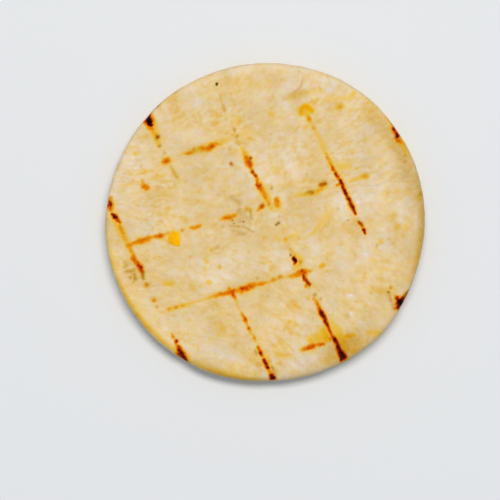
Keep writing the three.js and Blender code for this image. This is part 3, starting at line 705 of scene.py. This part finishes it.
wires = LONG_WIRE_MARKS + CROSS_WIRE_MARKS
wire_marks = WIRE_HEAT * painted(wires, places, hardness=2.1, glow=0.08, fineness=0.93) * upper
under_marks = UNDER_HEAT * under_heat * np.exp(-((under_gap / UNDER_REACH) ** 2)) * lower
scorch = np.maximum.reduce([wire_marks, under_marks, painted(LOOSE_SCORCHES, places) * upper])
soot_and_shade = painted(SOOT_AND_SHADE_STROKES, places) * upper
gold_and_shade = painted(GOLD_AND_SHADE_STROKES, places) * upper
round_marks = painted(wires, places, fineness=1.2) * upper
gold_and_shade = np.maximum(gold_and_shade, HALO_SHARE * np.sqrt(round_marks))
pale_and_rim_light = painted(PALE_AND_RIM_LIGHT_STROKES, places) * upper
light = shaded(SOFT_PATCHES, places, 3) * upper
white = shaded(SOFT_PATCHES, places, 4) * upper
print("scorched share of the points:", round(float((scorch > 0.3).mean()), 3))

# %% [markdown]
# ## Relief
# Pressed dough is never flat: palms leave broad hollows, the coarse flour small lumps, and the drying skin
# fine wrinkles. Each is noise of its own size, moved along the surface's own direction. The wires leave
# grooves, deepest where they burnt. The underside only ever goes inwards, so that the cake still rests
# flat.

# %% Raise and press the points
HOLLOW, LUMP, GRAIN, GRIT = (17.0, 0.22), (6.5, 0.13), (2.8, 0.06), (1.3, 0.035)
WRINKLE_HEIGHT, WRINKLE_CREST = 0.34, 0.3
WRINKLE_SIZES = np.array([6.0, 1.5, 3.0]) # along the flow, across it and upwards
WRINKLED_EVERYWHERE = 0.15
WRINKLED_PATCHES = [
    (32, 26, 24, 0.8), (-47, 14, 12, 0.6), (52, 15, 10, 0.8), (36, 13, 9, 0.6), (47, -15, 9, 0.6),
    (-46, -22, 11, 0.8), (-12, -30, 9, 0.6), (-22, -46, 9, 0.8), (-10, 3, 8, 0.7),
]
GROOVE_DEPTH, FOLD_HEIGHT, SOOT_DENT = 0.38, 0.3, 0.2
FLOW_TURN, FLOW_SPREAD, FLOW_SHEAR = 5, 22, 0.3 # degrees, degrees from middle to edge, and a share
FLOW_REACH = 40
REST_HEIGHT = 1.5 # below this the points may only move inwards

push = np.zeros(len(points))
for seed, (size, depth) in enumerate((HOLLOW, LUMP, GRAIN, GRIT), start=10):
    push += depth * noise_at(points, size, seed)

flow_angle = np.radians(FLOW_TURN + FLOW_SPREAD * np.tanh(points[:, 1] / FLOW_REACH))
flow = np.column_stack((
    points[:, 0] + FLOW_SHEAR * points[:, 1],
    points[:, 1] - points[:, 0] * np.tan(flow_angle),
    points[:, 2],
))
wrinkled = WRINKLED_EVERYWHERE + shaded(WRINKLED_PATCHES, points[:, :2], 3)
ridges = WRINKLE_CREST - np.abs(noise_at(flow / WRINKLE_SIZES, 1.0, 20))
push += WRINKLE_HEIGHT * ridges * wrinkled * upper

groove = np.maximum(wire_marks, under_marks)
push -= GROOVE_DEPTH * groove
push += FOLD_HEIGHT * painted([SOFT_FOLD], places) * upper
push -= SOOT_DENT * soot_and_shade

resting = 1 - smooth_step(0.0, REST_HEIGHT, points[:, 2])
push = np.where(resting > 0, push * (1 - resting) - resting * np.abs(push), push)
final = points + push[:, None] * normals
final[:, 2] = np.maximum(final[:, 2], 0.0)

for vert, place in zip(bm.verts, final):
    vert.co = place * MM
bmesh.ops.recalc_face_normals(bm, faces=bm.faces)
for face in bm.faces:
    face.smooth = True
cake_mesh = bpy.data.meshes.new("grilled_cake")
bm.to_mesh(cake_mesh)
bm.free()
flow_attribute = cake_mesh.attributes.new("flow", "FLOAT_VECTOR", "POINT")
flow_attribute.data.foreach_set("vector", flow.astype(np.float32).ravel())
brushed = {
    "scorch": scorch, "soot_and_shade": soot_and_shade, "gold_and_shade": gold_and_shade, "pale_and_rim_light": pale_and_rim_light,
    "light": light, "white": white, "wrinkled": wrinkled,
}
for name, values in brushed.items():
    attribute = cake_mesh.attributes.new(name, "FLOAT", "POINT")
    attribute.data.foreach_set("value", values.astype(np.float32))
cake = bpy.data.objects.new("grilled_cake", cake_mesh)
bpy.context.scene.collection.objects.link(cake)
print("cake, mm:", np.round(np.ptp(final, axis=0), 2))
print("relief, mm: from", push.min().round(2), "to", push.max().round(2))

# %% [markdown]
# ## The crust
# The crust is one material, built as a cook sees it: the dry dough first, then gold, scorch and soot over
# it. Its nodes could be wired one by one, but a few short functions say the same in a line each.

# %% Small helpers for node trees
def new_node(tree, kind, settings=None, **inputs):
    """A node with its settings and its inputs, by name or, as n0, n1 and so on, by number.

    An input is a number, a colour or another node's output.
    """
    node = tree.nodes.new(kind)
    for key, value in (settings or {}).items():
        setattr(node, key, value)
    for key, value in inputs.items():
        socket = node.inputs[int(key[1:])] if key[0] == "n" and key[1:].isdigit() else node.inputs[key]
        if isinstance(value, bpy.types.NodeSocket):
            tree.links.new(value, socket)
        else:
            socket.default_value = value
    return node


def maths(tree, operation, first, second=0.0, third=0.0, clamp=False):
    settings = {"operation": operation, "use_clamp": clamp}
    return new_node(tree, "ShaderNodeMath", settings, n0=first, n1=second, n2=third).outputs[0]


def noise_in(tree, place, scale, detail, roughness):
    """Noise about 0.5, whose largest features have the size of 1 / scale."""
    node = new_node(
        tree, "ShaderNodeTexNoise", {"normalize": True},
        Vector=place, Scale=scale, Detail=detail, Roughness=roughness,
    )
    return node.outputs["Fac"]


def rough_noise(tree, place, size_mm, detail, roughness):
    return noise_in(tree, place, 1 / (size_mm * MM), detail, roughness)


def faded(tree, value, start, end, first=0.0, last=1.0):
    """A smooth fade from first to last as the value goes from start to end."""
    node = new_node(tree, "ShaderNodeMapRange", {"interpolation_type": "SMOOTHSTEP"}, Value=value)
    for key, number in {"From Min": start, "From Max": end, "To Min": first, "To Max": last}.items():
        node.inputs[key].default_value = number
    return node.outputs["Result"]


def ramp(tree, factor, stops):
    node = new_node(tree, "ShaderNodeValToRGB", Fac=factor)
    elements = node.color_ramp.elements
    while len(elements) < len(stops):
        elements.new(0.5)
    for element, (position, colour) in zip(elements, stops):
        element.position = position
        element.color = linear(*colour)
    return node.outputs["Color"]


def mixed(tree, factor, base, over, blend="MIX"):
    node = new_node(tree, "ShaderNodeMix", {"data_type": "RGBA", "blend_type": blend})
    for key, value in ((0, factor), (6, base), (7, over)):
        if isinstance(value, bpy.types.NodeSocket):
            tree.links.new(value, node.inputs[key])
        else:
            node.inputs[key].default_value = value
    return node.outputs[2]


def stretched(tree, value, factor):
    """A noise spread out from its middle, 0.5."""
    return maths(tree, "MULTIPLY_ADD", value, factor, 0.5 - 0.5 * factor, clamp=True)


def about_one(tree, noise, share):
    """A noise about 0.5 as a factor about 1, which varies by the share."""
    return maths(tree, "MULTIPLY_ADD", noise, share, 1 - share / 2)


def brush_mark(tree, name):
    return new_node(tree, "ShaderNodeAttribute", {"attribute_name": name}).outputs["Fac"]


print("node helpers ready")

# %% [markdown]
# The dough is cream, whiter where starch dried on it and yellower where the corn's own colour shows, in
# patches from half a millimetre to a few centimetres. So one value, the dryness, adds up a noise with many
# octaves, streaks and filaments along the flow, yellow kernels, white starch grains and the brushes' pale
# and white, and a ramp turns it into colour. The pale brush also holds painted light on the upper and left
# edges. Mixing two flat colours by a noise would be simpler, but would look like paint.

# %% How dry the skin is
crust = bpy.data.materials.new("grilled_corn_dough")
crust.use_nodes = True
tree = crust.node_tree
shader = tree.nodes["Principled BSDF"]
place = new_node(tree, "ShaderNodeTexCoord").outputs["Object"]
flow = new_node(tree, "ShaderNodeAttribute", {"attribute_name": "flow"}).outputs["Vector"]

PATCH_SHARE, STREAK_SHARE, FILAMENT_SHARE = 1.52, 0.44, 0.11
CALMEST = 0.3 # what the patches keep of their contrast, where the skin is most even
FILAMENT_WIDTH = 0.045
KERNEL_SHARE, STARCH_SHARE = -0.17, 0.16
PALE_AND_RIM_LIGHT_SHARE, WHITE_SHARE = 0.24, 0.24


def along_flow(tree, length_mm, width_mm):
    """The dough's own coordinates, scaled so that noise of size 1 has the given length and width."""
    scale = (1 / length_mm, 1 / width_mm, 1 / width_mm)
    return new_node(tree, "ShaderNodeMapping", Vector=flow, Scale=scale).outputs["Vector"]


wrinkled = brush_mark(tree, "wrinkled")
patches = noise_in(tree, along_flow(tree, 18.0, 14.0), 1.0, 3.5, 1.0)
liveliness = stretched(tree, rough_noise(tree, place, 15.0, 1.0, 0.5), 3.0)
patched = maths(tree, "MULTIPLY_ADD", liveliness, PATCH_SHARE, CALMEST * PATCH_SHARE)
dryness = maths(tree, "MULTIPLY_ADD", maths(tree, "SUBTRACT", patches, 0.5), patched, 0.5)

streaks = noise_in(tree, along_flow(tree, 4.0, 1.4), 1.0, 2.0, 0.6)
streaked = maths(tree, "MULTIPLY", wrinkled, STREAK_SHARE)
dryness = maths(tree, "MULTIPLY_ADD", maths(tree, "SUBTRACT", streaks, 0.5), streaked, dryness)

filaments = noise_in(tree, along_flow(tree, 8.0, 1.9), 1.0, 1.5, 0.6)
filaments = maths(tree, "ABSOLUTE", maths(tree, "SUBTRACT", filaments, 0.5))
filaments = maths(tree, "MULTIPLY", faded(tree, filaments, 0.0, FILAMENT_WIDTH, 1.0, 0.0), wrinkled)
layers = {
    "filaments": (filaments, FILAMENT_SHARE),
    "kernels": (faded(tree, rough_noise(tree, place, 2.4, 1.5, 0.6), 0.6, 0.74), KERNEL_SHARE),
    "starch": (faded(tree, rough_noise(tree, place, 2.2, 1.5, 0.6), 0.4, 0.26), STARCH_SHARE),
    "pale_and_rim_light": (brush_mark(tree, "pale_and_rim_light"), PALE_AND_RIM_LIGHT_SHARE),
    "white": (brush_mark(tree, "white"), WHITE_SHARE),
}
for layer, share in layers.values():
    dryness = maths(tree, "MULTIPLY_ADD", layer, share, dryness)
dough = ramp(tree, dryness, [
    (0.00, (236, 172, 8)),
    (0.14, (227, 171, 54)),
    (0.30, (223, 183, 98)),
    (0.42, (225, 191, 126)),
    (0.50, (226, 197, 142)),
    (0.60, (227, 201, 158)),
    (0.75, (226, 207, 178)),
    (1.00, (229, 216, 204)),
])
print("dough:", len(tree.nodes), "nodes, with", ", ".join(layers))

# %% [markdown]
# Gold is laid over the dough where a brush left it. The ramp gives its colour, and its cover grows with its
# strength, so faint gold is a warm veil and strong gold hides the dough. Fine noise crumbles its edges.

# %% A brush's colour, laid over what is there
def laid_over(tree, base, amount, stops, full_cover):
    """The ramp's colours over the base, hiding it wholly once the amount reaches full_cover."""
    return mixed(tree, faded(tree, amount, 0.0, full_cover), base, ramp(tree, amount, stops))


crumble = stretched(tree, rough_noise(tree, place, 1.1, 3.0, 0.7), 3.0)
# the gold brush also holds painted shade, in the band under the soft fold
toasted_and_shaded = maths(tree, "MULTIPLY", brush_mark(tree, "gold_and_shade"), about_one(tree, crumble, 0.3))
dough = laid_over(tree, dough, toasted_and_shaded, [
    (0.10, (229, 197, 128)),
    (0.28, (229, 191, 98)),
    (0.50, (231, 184, 60)),
    (0.80, (233, 174, 14)),
    (1.00, (228, 164, 4)),
], full_cover=0.32)
print("gold laid on:", len(tree.nodes), "nodes")

# %% [markdown]
# Where the skin is thicker it is a little brighter, and where it is thin a little duller. The light brush
# lightens the white flakes, and adds painted light where the edge catches it. A multiplied tint then leans
# it towards pink or green by a trace, which keeps the cream from looking like one paint.

# %% Brighter and duller patches, painted light on the edge, and a trace of pink and green
WORN_SHARE, LIGHT_SHARE = 0.44, 0.10

worn = rough_noise(tree, place, 13.0, 4.0, 0.8)
brightness = about_one(tree, worn, WORN_SHARE)
brightness = maths(tree, "MULTIPLY_ADD", brush_mark(tree, "light"), LIGHT_SHARE, brightness)
dough = new_node(tree, "ShaderNodeHueSaturation", Value=brightness, Color=dough).outputs["Color"]
lean = rough_noise(tree, place, 2.0, 0.0, 0.6)
tint = ramp(tree, lean, [(0.3, (250, 255, 245)), (0.5, (252, 253, 253)), (0.7, (254, 249, 255))])
dough = mixed(tree, 1.0, dough, tint, "MULTIPLY")
print("shaded and tinted:", len(tree.nodes), "nodes")

# %% [markdown]
# The scorch's strength runs through a ramp of toasting colours, from gold through orange and brown to
# black, broken up by two noises so that the burnt edges crumble and bead. Soot comes last, multiplied,
# since it darkens whatever it lies on, and so does the painted shade that its brush holds on the lower
# and right edges, under the soft fold and beside a white flake.

# %% Toast over the dough, and soot and painted shade over both
TOAST_RANGE = 1.3 # the strength that burns black

beads = stretched(tree, rough_noise(tree, place, 2.0, 1.0, 0.5), 2.5)
heat = maths(tree, "MULTIPLY", brush_mark(tree, "scorch"), about_one(tree, crumble, 0.4))
heat = maths(tree, "MULTIPLY", heat, about_one(tree, beads, 0.3))
heat = maths(tree, "MULTIPLY", heat, 1 / TOAST_RANGE, clamp=True)
surface = laid_over(tree, dough, heat, [
    (0.08, (228, 184, 84)),
    (0.15, (227, 165, 32)),
    (0.23, (226, 151, 10)),
    (0.31, (225, 135, 3)),
    (0.38, (219, 114, 0)),
    (0.46, (208, 86, 0)),
    (0.54, (188, 62, 0)),
    (0.61, (150, 36, 0)),
    (0.69, (116, 20, 0)),
    (0.78, (90, 12, 0)),
    (1.00, (14, 3, 1)),
], full_cover=0.33 / TOAST_RANGE)

smoke_and_shade = maths(tree, "MULTIPLY", brush_mark(tree, "soot_and_shade"), about_one(tree, crumble, 0.4), clamp=True)
smoke_and_shade_colour = ramp(tree, smoke_and_shade, [
    (0.00, (255, 255, 255)),
    (0.35, (226, 206, 134)),
    (0.60, (192, 163, 99)),
    (0.80, (146, 123, 93)),
    (1.00, (50, 44, 44)),
])
surface = mixed(tree, 1.0, surface, smoke_and_shade_colour, "MULTIPLY")
tree.links.new(surface, shader.inputs["Base Color"])
print("crust colours:", len(tree.nodes), "nodes")

# %% [markdown]
# Cooked dough is nearly matt, a little satin where its skin dried, and dull where it burnt to carbon. Light
# goes a short way into it, so a trace of subsurface scattering softens it. Bump adds only what is finer
# than the mesh.

# %% The crust's gloss and grain
ROUGHNESS_LEAST, ROUGHNESS_RANGE, BURNT_ROUGHER = 0.45, 0.3, 0.2

skin = rough_noise(tree, place, 3.0, 3.0, 0.6)
roughness = maths(tree, "MULTIPLY_ADD", skin, ROUGHNESS_RANGE, ROUGHNESS_LEAST)
roughness = maths(tree, "MULTIPLY_ADD", heat, BURNT_ROUGHER, roughness)
tree.links.new(roughness, shader.inputs["Roughness"])
shader.inputs["Specular IOR Level"].default_value = 0.07
shader.inputs["Specular Tint"].default_value = (1.0, 0.82, 0.45, 1.0)
shader.inputs["Subsurface Weight"].default_value = 0.08
shader.inputs["Subsurface Radius"].default_value = (1.0, 0.6, 0.3)
shader.inputs["Subsurface Scale"].default_value = 1.0 * MM

fine_grain = rough_noise(tree, place, 1.0, 4.0, 0.65)
grain_bump = new_node(tree, "ShaderNodeBump", Strength=0.5, Distance=0.12 * MM, Height=fine_grain)
tree.links.new(grain_bump.outputs["Normal"], shader.inputs["Normal"])
cake_mesh.materials.append(crust)
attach(cake, "root")
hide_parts("arepa_cake")
print("crust finished")

# %% [markdown]
# ## Flecks and crumbs
# A scrap of one kernel's tough yellow hull is still in the dough, and the rack left crumbs of char. All are
# stuck to the skin, so each is a small ball pressed flat: its outline is stretched to the scrap's own
# shape, its lower half sinks into the dough, and it lies at the height of the nearest point of the cake's
# top.

# %% Pressing a ball into the top
HULL_OUTLINE = [
    (-36.2, -5.9), (-35.9, -4.9), (-34.8, -4.2), (-33.3, -4.0), (-32.3, -4.5), (-31.9, -6.0),
    (-31.8, -7.8), (-32.0, -9.0), (-32.8, -9.7), (-33.8, -9.4), (-34.7, -8.6), (-36.1, -7.9),
]
HULL_THICKNESS = 0.35
CRUMBS = [
    (-18.2, 51.2, 0.55), (45.8, -26.5, 0.26), (-12.4, 0.3, 0.18), (-11.7, -0.8, 0.17), (-8.3, -0.3, 0.20),
    (4.1, -1.3, 0.20), (4.9, -0.7, 0.24), (9.4, -12.7, 0.20),
]
CRUMB_FLATNESS = 0.45
FINE_FROM = 1.5 # mm: from this reach up, a ball is finer
SUNK_SHARE = 0.8 # the lower half's depth, as a share of the upper half's
top_points = final[final[:, 2] > CAKE_THICKNESS / 2]


def cake_height(x, y):
    """The height of the cake's top under a place given from the rack's centre."""
    gaps = np.hypot(top_points[:, 0] - x - RACK_CENTRE[0], top_points[:, 1] - y - RACK_CENTRE[1])
    return top_points[np.argmin(gaps), 2]


def pressed_ball(bm, x, y, reach_at, thickness, roughness, seed):
    """A ball pressed flat on the cake at a place. Its reach in mm may differ with the direction."""
    made = bmesh.ops.create_icosphere(bm, subdivisions=4 if reach_at(0) > FINE_FROM else 3, radius=1.0)
    for vert in made["verts"]:
        reach = reach_at(math.atan2(vert.co.y, vert.co.x))
        uneven = 1 + roughness * noise.noise(1.6 * vert.co + Vector((seed * 3.7, seed * 1.9, 0.0)))
        spot_x = x + reach * uneven * vert.co.x
        spot_y = y + reach * uneven * vert.co.y
        lift = thickness * uneven * (vert.co.z if vert.co.z > 0 else SUNK_SHARE * vert.co.z)
        place_z = cake_height(spot_x, spot_y) + lift
        vert.co = Vector((spot_x + RACK_CENTRE[0], spot_y + RACK_CENTRE[1], place_z)) * MM


def finished_piece(name, bm, material):
    for face in bm.faces:
        face.smooth = True
    mesh = bpy.data.meshes.new(name)
    bm.to_mesh(mesh)
    bm.free()
    mesh.materials.append(material)
    piece = bpy.data.objects.new(name, mesh)
    bpy.context.scene.collection.objects.link(piece)
    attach(piece, "root")


def fleck_material(name, size_mm, stops, roughness):
    """Two noises: one for the scrap's own patches, one for its grain."""
    material = plain_material(name, linear(*stops[0][1]), roughness)
    tree = material.node_tree
    shader = tree.nodes["Principled BSDF"]
    place = new_node(tree, "ShaderNodeTexCoord").outputs["Object"]
    colour = ramp(tree, stretched(tree, rough_noise(tree, place, size_mm, 3.0, 0.6), 1.8), stops)
    tree.links.new(colour, shader.inputs["Base Color"])
    grain = rough_noise(tree, place, 0.5, 3.0, 0.6)
    bump = new_node(tree, "ShaderNodeBump", Strength=0.4, Distance=0.05 * MM, Height=grain)
    tree.links.new(bump.outputs["Normal"], shader.inputs["Normal"])
    shader.inputs["Specular IOR Level"].default_value = 0.03
    return material


print("crumbs:", len(CRUMBS))

# %% [markdown]
# The hull's scrap is flat and leathery, with a corner at each end. Its outline is a few points on its edge,
# read as a reach for each direction from its middle, so that the ball takes that shape.

# %% A scrap of corn hull
outline = np.array(HULL_OUTLINE)
middle = outline.mean(axis=0)
hull_angles = np.arctan2(*(outline - middle).T[::-1])
hull_reaches = np.hypot(*(outline - middle).T)
order = np.argsort(hull_angles)

bm = bmesh.new()
pressed_ball(
    bm, middle[0], middle[1],
    lambda angle: np.interp(angle, hull_angles[order], hull_reaches[order], period=2 * math.pi),
    thickness=HULL_THICKNESS, roughness=0.12, seed=1,
)
hull = fleck_material("corn_hull", 2.6, [
    (0.10, (226, 160, 6)),
    (0.35, (240, 172, 4)),
    (0.65, (250, 184, 2)),
    (0.90, (244, 190, 20)),
], roughness=0.5)
finished_piece("corn_hull_fleck", bm, hull)
print("hull fleck laid on")

# %% [markdown]
# The crumbs are the same kind of ball, small and far more uneven. All are one piece, since they are one
# kind.

# %% Crumbs of char
bm = bmesh.new()
for seed, (x, y, reach) in enumerate(CRUMBS):
    flat = CRUMB_FLATNESS * reach
    pressed_ball(bm, x, y, lambda angle, reach=reach: reach, thickness=flat, roughness=0.7, seed=20 + seed)
char = fleck_material("char_crumb", 0.5, [
    (0.20, (58, 40, 24)),
    (0.50, (88, 64, 38)),
    (0.80, (124, 94, 58)),
], roughness=0.8)
finished_piece("char_crumbs", bm, char)
print("crumbs laid on")
